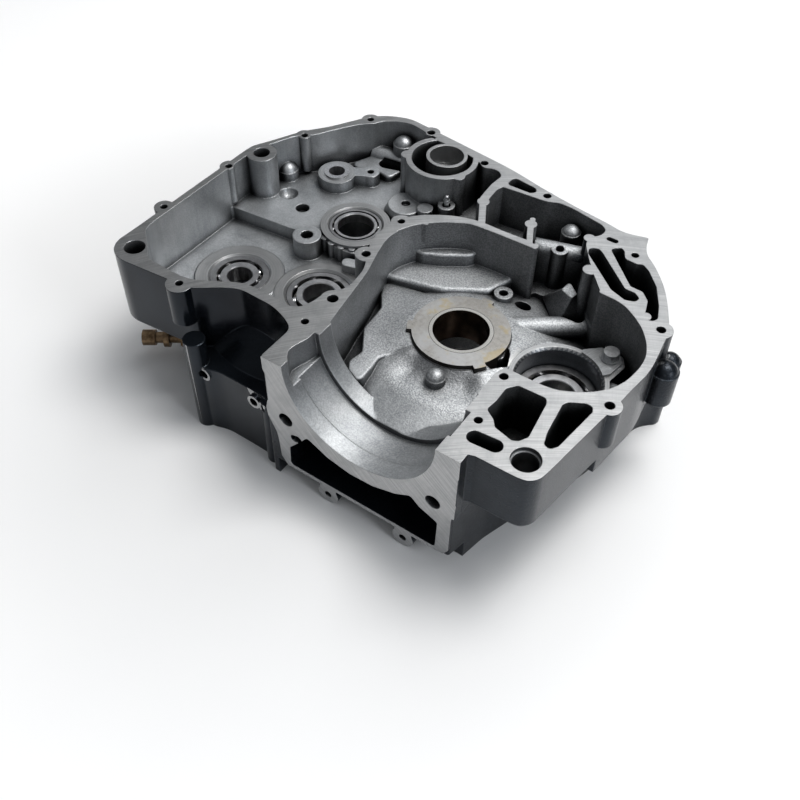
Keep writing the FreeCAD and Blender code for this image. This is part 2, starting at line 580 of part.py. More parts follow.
# Bores, holes and thread cores
holes = []
for x, y, core, outside, depth in SCREWS:
    holes.append(cyl(x, y, core, -depth, 1))
holes.append(slot_z(48, 208.3, 52, 208.3, 2.0, -20, 1))
for mount in (MOUNT_A, MOUNT_B, MOUNT_C):
    holes.append(cyl(mount[0], mount[1], mount[2], -60, 1))
holes.append(cyl(MOUNT_C[0], MOUNT_C[1], MOUNT_C[2] + 1.0, -3, 1))
# stud holes, drain slot and deck screws
for x in (-STUD_X, STUD_X):
    holes.append(cyl_y(x, STUD_Z, STUD_R, -1, 40))
holes.append(cyl_y(-46, -58.9, 3.0, -1, 30))
holes.append(cyl_y(-43.6, -58.2, 3.0, -1, 30))
for x in DECK_SCREW_X:
    holes.append(cyl_y(x, DECK_SCREW_Z, TAP_R, -1, 18))
for x, r in OIL_TUBES:
    holes.append(cyl_y(x, OIL_TUBE_Z, r - 1.8, 4, 16))
# bearing seats, their lead-ins and the openings below them
for name, (x, y), brg, balls, top, mouth, lead in BEARINGS:
    holes.append(cyl(x, y, brg[1], top - brg[2], 1))
    holes.append(cyl(x, y, brg[1] - SEAT_LIP, -75, 1))
    holes.append(cone(x, y, brg[1], brg[1] + lead, mouth - lead, mouth))
# insert seat with its three tab pockets
holes.append(cyl(0, CRANK_Y, INSERT_R, INSERT_Z - INSERT_LEN, 1))
holes.append(cyl(0, CRANK_Y, SHELL_R + 1.5, -80, 1))
for a in TAB_ANGLES:
    holes.append(tab(a, TAB_R + TAB_GAP, TAB_W + 2 * TAB_GAP,
                     TAB_T + TAB_GAP))
# shift shaft bush, rail and pin holes
holes.append(cyl(SS_XY[0], SS_XY[1], BUSH_R, BUSH_Z, 1))
holes.append(cyl(SS_XY[0], SS_XY[1], BUSH_R - 2.5, -70, 1))
holes.append(cyl(PAD_SCREW_XY[0], PAD_SCREW_XY[1], TAP_R, -34, 1))
holes.append(cyl(RAIL_XY[0], RAIL_XY[1], 4.3, -40, 1))
holes.append(cyl(-157.4, 151.4, 4.9, -37, 1))
holes.append(ball(-176, 159, -29, 7.2))
holes.append(cyl(-96, 190.5, 3.2, -27, 1))
holes.append(cyl(JET_XY[0], JET_XY[1], 3.0, JET_SEAT - 4, 1))
holes.append(cyl(JET_XY[0], JET_XY[1], JET_R, JET_SEAT - 9, 1))
holes.append(cyl(HUB_XY[0], HUB_XY[1], 12.0, -14, 1))
holes.append(cyl(HUB_XY[0], HUB_XY[1], 9.5, -30, 1))
holes.append(slot_z(-136, 224, -123, 228, 5.5, -36, -24))
holes.append(cyl(LUG_XY[0], LUG_XY[1], 2.8, -30, 1))
holes.append(cyl(3.4, 157, 3.0, -44, 1))
holes.append(cyl(16.3, 161.6, 5.5, -80, 1))
holes.append(prism([(25, 97), (31, 94.5), (38, 103), (34.6, 112),
                    (29, 119), (32.4, 107)], -52, 1, rmax=1))
holes.append(cyl(PLATE_SCREW_XY[0], PLATE_SCREW_XY[1], TAP_R, -50, 1))
holes.append(rod(union_at(-UNION_THREAD), union_at(UNION_BOSS + 1),
                 UNION_R))
# bores of the outer flange screws
for x, y, r, top in COVER_SCREWS:
    holes.append(cyl(x, y, TAP_R, FLANGE_Z - 1, FLANGE_Z + 18))
case = case.cut(holes)
case = case.removeSplitter()
if case.ShapeType != "Solid":
    solids = sorted(case.Solids, key=lambda s: s.Volume)
    print("solids in the casting", [round(s.Volume) for s in solids])
    case = solids[-1]


# Ball bearings
def bearing(xy, brg, count, top):
    bore, outside, width, ball_r = brg
    x, y = xy
    z0, z1, zm = top - width, top, top - width / 2
    pitch = (bore + outside) / 2
    shoulder = ball_r * 0.42
    groove = Part.makeTorus(pitch, ball_r + BALL_GAP, P(x, y, zm),
                            V(0, 0, 1))
    outer = ring(x, y, pitch + shoulder, outside, z0, z1).cut(groove)
    outer = outer.common(
        cone(x, y, outside - RING_EDGE, outside, z0, z0 + RING_EDGE).fuse(
            [cyl(x, y, outside, z0 + RING_EDGE, z1 - RING_EDGE),
             cone(x, y, outside, outside - RING_EDGE, z1 - RING_EDGE, z1)]))
    inner = ring(x, y, bore, pitch - shoulder, z0, z1).cut(
        [groove, cone(x, y, bore, bore + RING_EDGE, z1 - RING_EDGE, z1)])
    # crown cage: a closed ring under the balls, pockets open at the top
    cage = ring(x, y, pitch - shoulder * 0.62, pitch + shoulder * 0.62,
                zm - ball_r - 0.9, zm + ball_r * 0.35)
    places = []
    for i in range(count):
        a = 2 * math.pi * (i + 0.5) / count
        places.append((x + pitch * math.cos(a), y + pitch * math.sin(a)))
    balls = [ball(bx, by, zm, ball_r) for bx, by in places]
    cage = cage.cut([ball(bx, by, zm, ball_r + 2 * BALL_GAP)
                     for bx, by in places])
    return (outer.Solids[0], inner.Solids[0], cage.Solids[0],
            Part.makeCompound(balls))


parts = {"crankcase_casting": case}
for name, xy, brg, count, top, mouth, lead in BEARINGS:
    outer, inner, cage, balls = bearing(xy, brg, count, top)
    parts[name + "_outer_ring"] = outer
    parts[name + "_inner_ring"] = inner
    parts[name + "_cage"] = cage
    parts[name + "_balls"] = balls

# Main bearing insert and shell
insert = ring(0, CRANK_Y, SHELL_R, INSERT_R, INSERT_Z - INSERT_LEN,
              INSERT_Z)
for a in TAB_ANGLES:
    lug = tab(a, TAB_R, TAB_W, TAB_T)
    insert = insert.fuse(lug.cut(cyl(0, CRANK_Y, SHELL_R + 4, -40, 0)))
parts["main_bearing_insert"] = insert.removeSplitter()
parts["main_bearing_shell"] = ring(0, CRANK_Y, SHAFT_R, SHELL_R,
                                   INSERT_Z - INSERT_LEN + 2, INSERT_Z)

# Shift shaft bush
parts["shift_shaft_bush"] = ring(SS_XY[0], SS_XY[1], BUSH_R - BUSH_WALL,
                                 BUSH_R, BUSH_Z, PAD_Z + 1.2)

# Oil jet in its boss by the ring chamber
jx, jy = JET_XY
jet = fuse([cyl(jx, jy, JET_R, JET_SEAT - 9, JET_SEAT + 6.5),
            cyl(jx, jy, JET_R + 0.6, JET_SEAT + 2.5, JET_SEAT + 4.5),
            ball(jx, jy, JET_SEAT + 6.5, JET_R)])
parts["oil_jet"] = jet.cut(
    cyl(jx, jy, 0.6, JET_SEAT - 10, JET_SEAT + 9)).removeSplitter()

# Oil line union on the rear wall: thread, hexagon, neck and hose barb
axis_a, axis_b = P(*union_at(0)), P(*union_at(1))
hexagon = Part.makePolygon(
    [V(UNION_HEX * math.cos(math.radians(60 * i)),
       UNION_HEX * math.sin(math.radians(60 * i)), 0) for i in range(7)])
nut = Part.Face(Part.Wire(hexagon)).extrude(V(0, 0, 6))
nut.Placement = FreeCAD.Placement(
    P(*union_at(UNION_BOSS)),
    FreeCAD.Rotation(V(0, 0, 1), axis_b - axis_a))
union = fuse([
    rod(union_at(-UNION_THREAD + 1), union_at(UNION_BOSS), UNION_R),
    nut,
    rod(union_at(UNION_BOSS + 6), union_at(UNION_BOSS + 24), 4.0),
    rod(union_at(UNION_BOSS + 14), union_at(UNION_BOSS + 18), 6.8),
    rod(union_at(UNION_BOSS + 24), union_at(UNION_BOSS + 33), 5.6)])
parts["oil_line_union"] = union.cut(
    rod(union_at(-UNION_THREAD), union_at(UNION_BOSS + 34),
        2.2)).removeSplitter()

# Retainer plate, washer and screw at the balancer
px, py = PLATE_SCREW_XY
plate = prism([(68.7, 139.4), (78.3, 148.3), (90.2, 148.4), (94.5, 143),
               (92.5, 131), (89, 127), (80, 128)],
              SEAT_Z, SEAT_Z + PLATE_T, rmax=2)
plate = plate.cut([cyl(BAL_XY[0], BAL_XY[1], 26.4, -40, -20),
                   cyl(px, py, 3.2, -40, -20)])
parts["balancer_retainer_plate"] = plate
washer_z = SEAT_Z + PLATE_T
head_z = washer_z + WASHER_T
parts["retainer_washer"] = ring(px, py, 3.1, 6.0, washer_z, head_z)
head = [(px + 5.77 * math.cos(math.radians(60 * i)),
         py + 5.77 * math.sin(math.radians(60 * i))) for i in range(6)]
screw = prism(head, head_z, head_z + HEAD_H, rmax=0.3).common(
    cone(px, py, 6.4, 4.8, head_z, head_z + HEAD_H))
parts["retainer_screw"] = screw.fuse(cyl(px, py, TAP_R, -44, head_z))

os.makedirs("parts", exist_ok=True)
for old in os.listdir("parts"):
    if old.endswith(".step") and old[:-5] not in parts:
        os.remove(os.path.join("parts", old))
for name, shape in parts.items():
    print(name, shape.ShapeType, shape.isValid(), len(shape.Faces),
          round(shape.Volume), shape.BoundBox)
    shape.exportStep("parts/" + name + ".step")
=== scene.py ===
import math

import bmesh
import bpy
import numpy as np
from mathutils import Matrix, Vector
from mathutils.bvhtree import BVHTree


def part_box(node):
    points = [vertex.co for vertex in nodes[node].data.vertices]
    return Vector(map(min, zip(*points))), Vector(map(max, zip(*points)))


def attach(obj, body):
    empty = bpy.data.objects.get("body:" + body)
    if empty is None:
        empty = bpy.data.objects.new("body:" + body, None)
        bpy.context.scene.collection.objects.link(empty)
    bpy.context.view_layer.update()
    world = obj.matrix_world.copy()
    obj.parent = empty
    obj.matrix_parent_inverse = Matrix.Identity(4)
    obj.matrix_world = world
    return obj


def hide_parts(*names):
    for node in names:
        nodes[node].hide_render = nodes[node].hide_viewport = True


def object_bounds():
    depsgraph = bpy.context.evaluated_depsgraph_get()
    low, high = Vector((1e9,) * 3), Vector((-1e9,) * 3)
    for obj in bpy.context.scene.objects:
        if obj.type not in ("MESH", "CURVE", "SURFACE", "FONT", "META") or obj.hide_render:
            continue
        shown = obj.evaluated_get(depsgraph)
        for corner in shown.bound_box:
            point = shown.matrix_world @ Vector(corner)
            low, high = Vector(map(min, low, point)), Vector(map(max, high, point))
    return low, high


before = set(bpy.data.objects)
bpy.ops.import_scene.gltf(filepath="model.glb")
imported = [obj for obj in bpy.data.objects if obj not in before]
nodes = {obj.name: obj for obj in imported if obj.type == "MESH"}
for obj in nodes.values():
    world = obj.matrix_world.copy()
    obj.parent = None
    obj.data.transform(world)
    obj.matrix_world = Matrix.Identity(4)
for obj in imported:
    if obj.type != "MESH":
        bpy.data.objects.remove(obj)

cad_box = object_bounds()
scene = bpy.context.scene
MM = 0.001

# Camera.
# The photograph looks down on the split face from the cylinder side, about
# forty-eight degrees above the floor.
FOCAL_PIXELS, FRAME_PIXELS, SENSOR = 961.05, 800, 36.0
cam_data = bpy.data.cameras.new("camera")
cam_data.sensor_width = SENSOR
cam_data.lens = FOCAL_PIXELS / FRAME_PIXELS * SENSOR
camera = bpy.data.objects.new("camera", cam_data)
cam_right = Vector((0.8248342, 0.56513831, 0.01634707))
cam_up = Vector((-0.42997775, 0.60826503, 0.66718272))
cam_back = cam_right.cross(cam_up)
camera.matrix_world = Matrix((cam_right, cam_up, cam_back)).transposed().to_4x4()
camera.matrix_world.translation = Vector((0.20647, -0.38056, 0.41470))
scene.collection.objects.link(camera)
scene.camera = camera


# Floor, lamps and world.
# A pale studio floor carries the soft shadow.  One lamp hangs overhead, a wide
# one behind the part lights the machined faces, and two stand beside it.
class Sock:
    """A shader socket that takes part in Python arithmetic."""

    def __init__(self, kit, socket):
        self.kit, self.socket = kit, socket

    def __add__(self, other):
        return self.kit.maths("ADD", self, other)

    def __radd__(self, other):
        return self.kit.maths("ADD", other, self)

    def __sub__(self, other):
        return self.kit.maths("SUBTRACT", self, other)

    def __rsub__(self, other):
        return self.kit.maths("SUBTRACT", other, self)

    def __mul__(self, other):
        return self.kit.maths("MULTIPLY", self, other)

    def __rmul__(self, other):
        return self.kit.maths("MULTIPLY", other, self)

    def __lt__(self, other):
        return self.kit.maths("LESS_THAN", self, other)


class Kit:
    """One node tree, of a material or the world, with one method that makes
    any node."""

    def __init__(self, name, owner=None):
        self.mat = owner or bpy.data.materials.new(name)
        self.mat.use_nodes = True
        self.tree = self.mat.node_tree
        self.tree.nodes.clear()

    def node(self, kind, settings=None, inputs=None, out=0):
        n = self.tree.nodes.new(kind)
        for key, value in (settings or {}).items():
            if key == "stops":
                ramp = n.color_ramp
                while len(ramp.elements) < len(value):
                    ramp.elements.new(0.5)
                for element, (place, colour) in zip(ramp.elements, value):
                    element.position = place
                    element.color = colour if len(colour) == 4 else (*colour, 1.0)
            else:
                setattr(n, key, value)
        pairs = enumerate(inputs) if isinstance(inputs, list) else (inputs or {}).items()
        for key, value in pairs:
            if isinstance(value, Sock):
                self.tree.links.new(value.socket, n.inputs[key])
            elif value is not None:
                n.inputs[key].default_value = value
        return Sock(self, n.outputs[out])

    def maths(self, operation, *values):
        return self.node("ShaderNodeMath", {"operation": operation}, list(values))

    def vector_maths(self, operation, *values, out=0):
        return self.node("ShaderNodeVectorMath", {"operation": operation}, list(values), out)

    def place(self):
        return self.node("ShaderNodeTexCoord", out="Object")

    def part_of(self, vector, axis):
        return self.node("ShaderNodeSeparateXYZ", {}, [vector], out=axis)

    def attribute(self, name):
        return self.node("ShaderNodeAttribute", {"attribute_name": name}, out="Fac")

    def openness(self, distance, samples=6, own=False):
        """One in the open and less in a corner or under something near."""
        return self.node("ShaderNodeAmbientOcclusion", {"samples": samples, "only_local": own},
                         {"Distance": distance}, out="AO")

    def scaled(self, scale, turn=(0, 0, 0)):
        turned = self.node("ShaderNodeMapping", {}, {"Vector": self.place(), "Rotation": turn})
        return self.node("ShaderNodeMapping", {}, {"Vector": turned, "Scale": scale})

    def noise(self, scale, detail=3.0, rough=0.5, vector=None):
        return self.node("ShaderNodeTexNoise", {}, {
            "Vector": vector or self.place(), "Scale": scale, "Detail": detail, "Roughness": rough})

    def ramp(self, value, *stops):
        return self.node("ShaderNodeValToRGB", {"stops": stops}, {"Fac": value})

    def band(self, value, low, high):
        return self.node("ShaderNodeMapRange", {"interpolation_type": "SMOOTHSTEP"}, {
            "Value": value, "From Min": low, "From Max": high})

    def mix(self, mask, a, b):
        return self.node("ShaderNodeMix", {"data_type": "RGBA"}, {0: mask, 6: a, 7: b}, out=2)

    def bump(self, height, distance, strength=1.0, normal=None):
        return self.node("ShaderNodeBump", {}, {
            "Height": height, "Distance": distance, "Strength": strength, "Normal": normal})

    def shader(self, **sockets):
        names = {k.replace("_", " "): v for k, v in sockets.items()}
        return self.node("ShaderNodeBsdfPrincipled", {}, names)

    def centred(self, x, y):
        """The level place, measured from the upright line through x, y."""
        return self.node("ShaderNodeMapping", {}, {
            "Vector": self.place(), "Location": (-x, -y, 0), "Scale": (1, 1, 0)})

    def from_axis(self, x, y):
        """The distance from the upright line through x, y."""
        return self.vector_maths("LENGTH", self.centred(x, y), out="Value")

    def close(self, shader, kind="ShaderNodeOutputMaterial"):
        end = self.tree.nodes.new(kind)
        self.tree.links.new(shader.socket, end.inputs["Surface"])
        return self.mat


def sheet_floor(z, half):
    """A flat square: x and y run from minus half to plus half at one height."""
    mesh = bpy.data.meshes.new("studio_floor")
    corners = [(-half, -half, z), (half, -half, z), (half, half, z), (-half, half, z)]
    mesh.from_pydata(corners, [], [(0, 1, 2, 3)])
    return bpy.data.objects.new("studio_floor", mesh)


FLOOR_HALF = 5.0
SHADE_REACH, WHITE_REACH = 0.15, 0.48
LIFT_WHITE = (0.32, 0.32, 0.32, 1)
floor = sheet_floor(cad_box[0].z, FLOOR_HALF)
scene.collection.objects.link(floor)
middle = (cad_box[0] + cad_box[1]) / 2
kit = Kit("pale_floor")
paper = kit.ramp(kit.noise(6.0), (0.0, (0.86, 0.86, 0.87)), (1.0, (0.9, 0.9, 0.9)))
open_floor = kit.band(kit.from_axis(middle.x, middle.y), SHADE_REACH, WHITE_REACH)
seen = kit.node("ShaderNodeLightPath", out="Is Camera Ray")
lift = kit.mix(seen * open_floor, (0, 0, 0, 1), LIFT_WHITE)
floor.data.materials.append(kit.close(kit.shader(
    Base_Color=paper, Roughness=0.75, Emission_Color=lift, Emission_Strength=1.0)))

# each lamp: direction, distance, side in metres, power in watts and tint
LAMPS = {
    "top_lamp": ((0.24, 0.24, 0.94), 1.4, 0.7, 15.5, (1.0, 0.99, 0.97)),
    "back_lamp": ((-0.16, 0.70, 0.70), 1.6, 0.9, 3.0, (0.96, 0.98, 1.0)),
    "side_lamp": ((0.90, -0.16, 0.44), 1.7, 0.55, 8.0, (0.92, 0.96, 1.0)),
    "front_lamp": ((0.45, -0.80, 0.45), 1.9, 0.6, 1.2, (0.95, 0.97, 1.0)),
}
for name, (direction, distance, side, power, tint) in LAMPS.items():
    lamp_data = bpy.data.lights.new(name, "AREA")
    lamp_data.size, lamp_data.energy, lamp_data.color = side, power, tint
    lamp = bpy.data.objects.new(name, lamp_data)
    away = Vector(direction).normalized()
    lamp.location = middle + away * distance
    lamp.rotation_euler = away.to_track_quat("Z", "Y").to_euler()
    scene.collection.objects.link(lamp)

world = bpy.data.worlds.new("studio")
kit = Kit("studio", world)
height = kit.part_of(kit.node("ShaderNodeTexCoord", out="Generated"), "Z")
sky = kit.ramp(height, (0.0, (0.03, 0.033, 0.036)), (0.35, (0.10, 0.105, 0.11)),
               (0.9, (0.32, 0.33, 0.34)))
background = kit.node("ShaderNodeBackground", {}, {"Color": sky, "Strength": 1.0})
kit.close(background, "ShaderNodeOutputWorld")
scene.world = world
scene.view_settings.view_transform = "Standard"


# Casting.
# One sand-cast aluminium alloy piece, coated dark slate outside and left as
# cast inside.  Its joint faces, seats and bores are machined after that, and
# its cone sinks into a bell between the insert and the cylinder.
SPLIT_Z, DECK_Y, COVER_Z = 30 * MM, -110.5 * MM, -74 * MM
SHARP_ANGLE = math.radians(28)
WELD_STEP = 1e-3 * MM
RAY_GAP, RAY_TURNS = 2e-5, 16


def merged_copy(node, name):
    """The node's own triangles, with the corners that share a place made one."""
    source = nodes[node].data
    corners = np.empty(len(source.vertices) * 3)
    source.vertices.foreach_get("co", corners)
    triangles = np.empty(len(source.polygons) * 3, np.int64)
    source.loops.foreach_get("vertex_index", triangles)
    keys = np.round(corners.reshape(-1, 3) / WELD_STEP).astype(np.int64)
    _, first, place = np.unique(keys, axis=0, return_index=True, return_inverse=True)
    faces = place.reshape(-1)[triangles].reshape(-1, 3)
    one, two, three = faces.T
    whole = (one != two) & (two != three) & (three != one)
    mesh = bpy.data.meshes.new(name)
    mesh.from_pydata(corners.reshape(-1, 3)[first], [], faces[whole])
    mesh.polygons.foreach_set("use_smooth", np.ones(len(mesh.polygons), bool))
    mesh.set_sharp_from_angle(angle=SHARP_ANGLE)
    return mesh


def sprayed_share(mesh, directions):
    """For each face, the share of the level directions that leave the casting
    without meeting it: about a half on an outer wall and none in a chamber."""
    count = len(mesh.polygons)
    centre = np.empty(count * 3)
    normal = np.empty(count * 3)
    mesh.polygons.foreach_get("center", centre)
    mesh.polygons.foreach_get("normal", normal)
    centre, normal = centre.reshape(-1, 3), normal.reshape(-1, 3)
    tree = BVHTree.FromPolygons(
        [v.co for v in mesh.vertices], [tuple(p.vertices) for p in mesh.polygons])
    turns = np.linspace(0, 2 * math.pi, directions, endpoint=False)
    rays = [Vector((math.cos(t), math.sin(t), 0)) for t in turns]
    starts = centre + normal * RAY_GAP
    free = [sum(tree.ray_cast(start, ray)[0] is None for ray in rays) for start in starts]
    return centre, normal, np.array(free) / directions


casting_mesh = merged_copy("crankcase_casting", "crankcase_body")
centre, normal, share = sprayed_share(casting_mesh, RAY_TURNS)
x_at, y_at, z_at = centre.T
_, y_facing, z_facing = normal.T
FACE_SLACK, SQUARE = 5e-5, 0.99
on_split = (abs(z_at - SPLIT_Z) < FACE_SLACK) & (z_facing > SQUARE)
on_deck = (abs(y_at - DECK_Y) < FACE_SLACK) & (y_facing < -SQUARE)
on_cover = (abs(z_at - COVER_Z) < FACE_SLACK) & (z_facing < -SQUARE)
machined = on_split | on_deck | on_cover
# turned seats of the main shaft, counter shaft, shift drum, balancer and
# shift shaft, and the hub, in mm: axis x and y, reach, lowest and highest
# height, and whether the walls are turned too
SEATS = [
    (-99.8, -15.3, 31, -24, -8, 1),
    (-155.0, -30.9, 28, -24, -9, 1),
    (-113.9, 44.9, 25, -10, 3.5, 0),
    (68.5, 0.5, 34, -4, -2, 0),
    (-155.6, 79.4, 15, -5, 8.5, 0),
    (-85.8, 115.1, 15, -30, 30, 1),
]
UPRIGHT, FACING_UP = 0.02, 0.6
turned = np.zeros(len(centre), bool)
for x, y, reach, low, high, walls in SEATS:
    away = np.hypot(x_at - x * MM, y_at - y * MM)
    seat_face = (abs(z_facing) < UPRIGHT * walls) | (z_facing > FACING_UP)
    turned |= (away < reach * MM) & (z_at > low * MM) & (z_at < high * MM) & seat_face
# the chambers are open towards the deck, but never sprayed
BALANCER_X, BALANCER_Y, BALANCER_REACH = 68.5 * MM, 0.5 * MM, 46 * MM
CRANK_REACH, CRANK_END, CRANK_FLOOR = 83 * MM, -66.5 * MM, -20 * MM
BORE_HALF, BORE_END, BORE_FLOOR = 56 * MM, -40 * MM, -24 * MM
SPRAYED = 0.12
from_crank = np.hypot(x_at, y_at)
from_balancer = np.hypot(x_at - BALANCER_X, y_at)
in_crank = (from_crank < CRANK_REACH) & (y_at > CRANK_END) | (from_balancer < BALANCER_REACH)
in_bore = (abs(x_at) < BORE_HALF) & (y_at < BORE_END)
inside = (in_crank & (z_at > CRANK_FLOOR)) | (in_bore & (z_at > BORE_FLOOR))
coated = (share > SPRAYED) & ~machined & ~inside
# the tube ends and screw bosses below the joint are faced off after coating
TUBE_X, TUBE_Y, TUBE_Z, TUBE_REACH = -66.5 * MM, -100 * MM, -24.5 * MM, 6 * MM
faced = (y_at < TUBE_Y) & (y_facing < -SQUARE) & (abs(z_at - TUBE_Z) < TUBE_REACH)
machined |= faced & (x_at < TUBE_X)
# the crank chamber's cone, on the side of the cylinder, and the level ring
# that it starts from
INSERT_REACH, HUB_REACH, HUB_TOP, CONE_FALL = 31 * MM, 36 * MM, -3 * MM, 17 / 47.2
CONE_SLACK, CONE_FACING, CONE_FROM, CONE_TO = 0.3 * MM, 0.85, 232, 326
RING_SLACK, RING_R, RING_HALF = 0.05 * MM, 33.6 * MM, 2.7 * MM
cone_height = HUB_TOP - (from_crank - HUB_REACH) * CONE_FALL
bearing_to = np.degrees(np.arctan2(y_at, x_at)) % 360
on_cone = (abs(z_at - cone_height) < CONE_SLACK) & (from_crank > HUB_REACH) & (z_facing > CONE_FACING)
on_ring = (abs(z_at - HUB_TOP) < RING_SLACK) & (abs(from_crank - RING_R) < RING_HALF)
on_cone |= on_ring & (z_facing > SQUARE)
on_cone = on_cone & (bearing_to > CONE_FROM) & (bearing_to < CONE_TO)
for name, mask in (("machined", machined), ("coated", coated & ~machined),
                   ("turned", turned & ~machined), ("cone", on_cone)):
    layer = casting_mesh.attributes.new(name, "FLOAT", "FACE")
    layer.data.foreach_set("value", mask.astype(np.float32))


BELL_FOOT, BELL_DEPTH, BELL_STEP = 58 * MM, 4 * MM, 3 * MM
BELL_START, BELL_FULL, BELL_FADE, BELL_END = 238, 256, 304, 322
BELL_PEAK = 27 / 4


def smooth_step(value, low, high):
    """0 below low, 1 above high and an S curve between them."""
    part = np.clip((value - low) / (high - low), 0, 1)
    return part * part * (3 - 2 * part)


def sink_bell(mesh, foot, depth, step):
    """Splits the cone's faces finely and sinks them into a bell.  With t
    running from 0 at the foot to 1 at the insert, the depth goes with
    t squared times 1 - t, which has its peak of 4/27 at two thirds, and it
    fades in and out along the arc."""
    finer = bmesh.new()
    finer.from_mesh(mesh)
    cone = finer.faces.layers.float["cone"]
    wide = True
    while wide:
        wide = [e for e in finer.edges
                if e.calc_length() > step and any(f[cone] > 0.5 for f in e.link_faces)]
        bmesh.ops.subdivide_edges(finer, edges=wide, cuts=1)
        bmesh.ops.triangulate(finer, faces=[f for f in finer.faces if len(f.verts) > 3])
    finer.to_mesh(mesh)
    finer.free()
    places = np.empty(len(mesh.vertices) * 3)
    mesh.vertices.foreach_get("co", places)
    places = places.reshape(-1, 3)
    corners = np.empty(len(mesh.loops), np.int64)
    mesh.loops.foreach_get("vertex_index", corners)
    corners = corners.reshape(-1, 3)
    marked = np.empty(len(corners), np.float32)
    mesh.attributes["cone"].data.foreach_get("value", marked)
    facing = np.empty(len(corners) * 3)
    mesh.polygons.foreach_get("normal", facing)
    moved = np.zeros(len(places), bool)
    moved[corners[marked > 0.5]] = True
    moved[corners[(marked < 0.5) & (facing.reshape(-1, 3)[:, 2] > SQUARE)]] = False
    t = np.clip((foot - np.hypot(places[:, 0], places[:, 1])) / (foot - INSERT_REACH), 0, 1)
    turn = np.degrees(np.arctan2(places[:, 1], places[:, 0])) % 360
    side = smooth_step(turn, BELL_START, BELL_FULL) * (1 - smooth_step(turn, BELL_FADE, BELL_END))
    places[:, 2] -= moved * side * depth * BELL_PEAK * t * t * (1 - t)
    mesh.vertices.foreach_set("co", places.ravel())
    mesh.set_sharp_from_angle(angle=SHARP_ANGLE)


sink_bell(casting_mesh, BELL_FOOT, BELL_DEPTH, BELL_STEP)
casting = bpy.data.objects.new("crankcase_body", casting_mesh)
scene.collection.objects.link(casting)


def seat_distance(kit):
    """The distance from the nearest seat's upright axis."""
    nearest = kit.from_axis(SEATS[0][0] * MM, SEATS[0][1] * MM)
    for x, y, *_ in SEATS[1:]:
        nearest = kit.maths("MINIMUM", nearest, kit.from_axis(x * MM, y * MM))
    return nearest


def cutter_marks(kit, far, across, along):
    """Streaks on arcs round a far point: noise that changes quickly with the
    distance from that point and slowly along the face."""
    centred = kit.node("ShaderNodeMapping", {}, {"Vector": kit.place(), "Location": [-v for v in far]})
    reach = kit.vector_maths("LENGTH", centred, out="Value")
    spot = kit.node("ShaderNodeVectorMath", {"operation": "SCALE"}, {"Vector": centred, "Scale": along})
    spread = kit.node("ShaderNodeCombineXYZ", {}, [reach * across])
    return kit.noise(1.0, 3.0, 0.6, kit.vector_maths("ADD", spot, spread))


kit = Kit("cast_alloy")
is_coated = kit.attribute("coated")
is_turned = kit.attribute("turned")
is_cone = kit.attribute("cone")
is_cut = kit.maths("MAXIMUM", kit.attribute("machined"), is_turned)
soft = kit.node("ShaderNodeBevel", {"samples": 6}, {"Radius": 1.3 * MM})
crisp = kit.node("ShaderNodeBevel", {"samples": 4}, {"Radius": 0.35 * MM})
flat = kit.node("ShaderNodeNewGeometry", out="Normal")
# masks for painted highlights: the rounded edges that the two bevels find
painted_edge_highlight = kit.band(kit.vector_maths("DOT_PRODUCT", soft, flat, out="Value"), 0.97, 0.80)
painted_fine_edge_highlight = kit.band(kit.vector_maths("DOT_PRODUCT", crisp, flat, out="Value"), 0.98, 0.85)
# openness near and far, which drives the painted shade in creases and deep recesses below
painted_crease_shade = kit.openness(9 * MM, own=True)
depth = kit.openness(42 * MM, samples=8, own=True)
across = kit.part_of(kit.place(), "Y")
# the rear part and the mouth of the bore are cast smoother
rear = kit.band(kit.part_of(kit.place(), "X"), -60 * MM, -76 * MM)
mouth = kit.band(across, -52 * MM, -62 * MM)
sand = kit.noise(900.0, 2.0, 0.6)
grit = kit.noise(1700.0, 1.0, 0.5)
cloud = kit.noise(24.0, 4.0, 0.6)
flow = kit.noise(1.0, 3.0, 0.6, kit.scaled((260, 260, 18)))
bare = kit.ramp(cloud * 0.75 + flow * 0.25, (0.34, (0.32, 0.335, 0.35)), (0.66, (0.56, 0.575, 0.59)))
grains = kit.band(sand * 0.7 + grit * 0.3, 0.40, 0.62)
coarse = 0.36 - rear * 0.22 - mouth * 0.18
pits = kit.mix(coarse, bare, (0.10, 0.105, 0.11, 1))
tops = kit.mix(coarse * 0.7, bare, (0.90, 0.91, 0.92, 1))
bare = kit.mix(grains, pits, tops)
# painted shade: upright walls are darker, less so in the rear, as under the overhead light
painted_wall_shade = kit.band(kit.part_of(soft, "Z"), 0.75, 0.25)
bare = kit.mix(painted_wall_shade * (0.6 - rear * 0.42), bare, (0.07, 0.072, 0.078, 1))
# painted shade: the cone is darker close to the insert, towards the cylinder, on the bell's flank
crank_distance = kit.from_axis(0, 0)
painted_bell_shade = kit.band(crank_distance, 52 * MM, 32 * MM) * kit.band(across, -16 * MM, -30 * MM) * is_cone
bare = kit.mix(painted_bell_shade * 0.6, bare, (0.06, 0.062, 0.066, 1))
# the balancer seat is turned; inside its well the colour is painted darker, as painted shade
in_well = kit.band(kit.from_axis(BALANCER_X, BALANCER_Y), 31.5 * MM, 30.5 * MM)
bare = kit.mix(in_well * 0.75, bare, (0.075, 0.085, 0.10, 1))
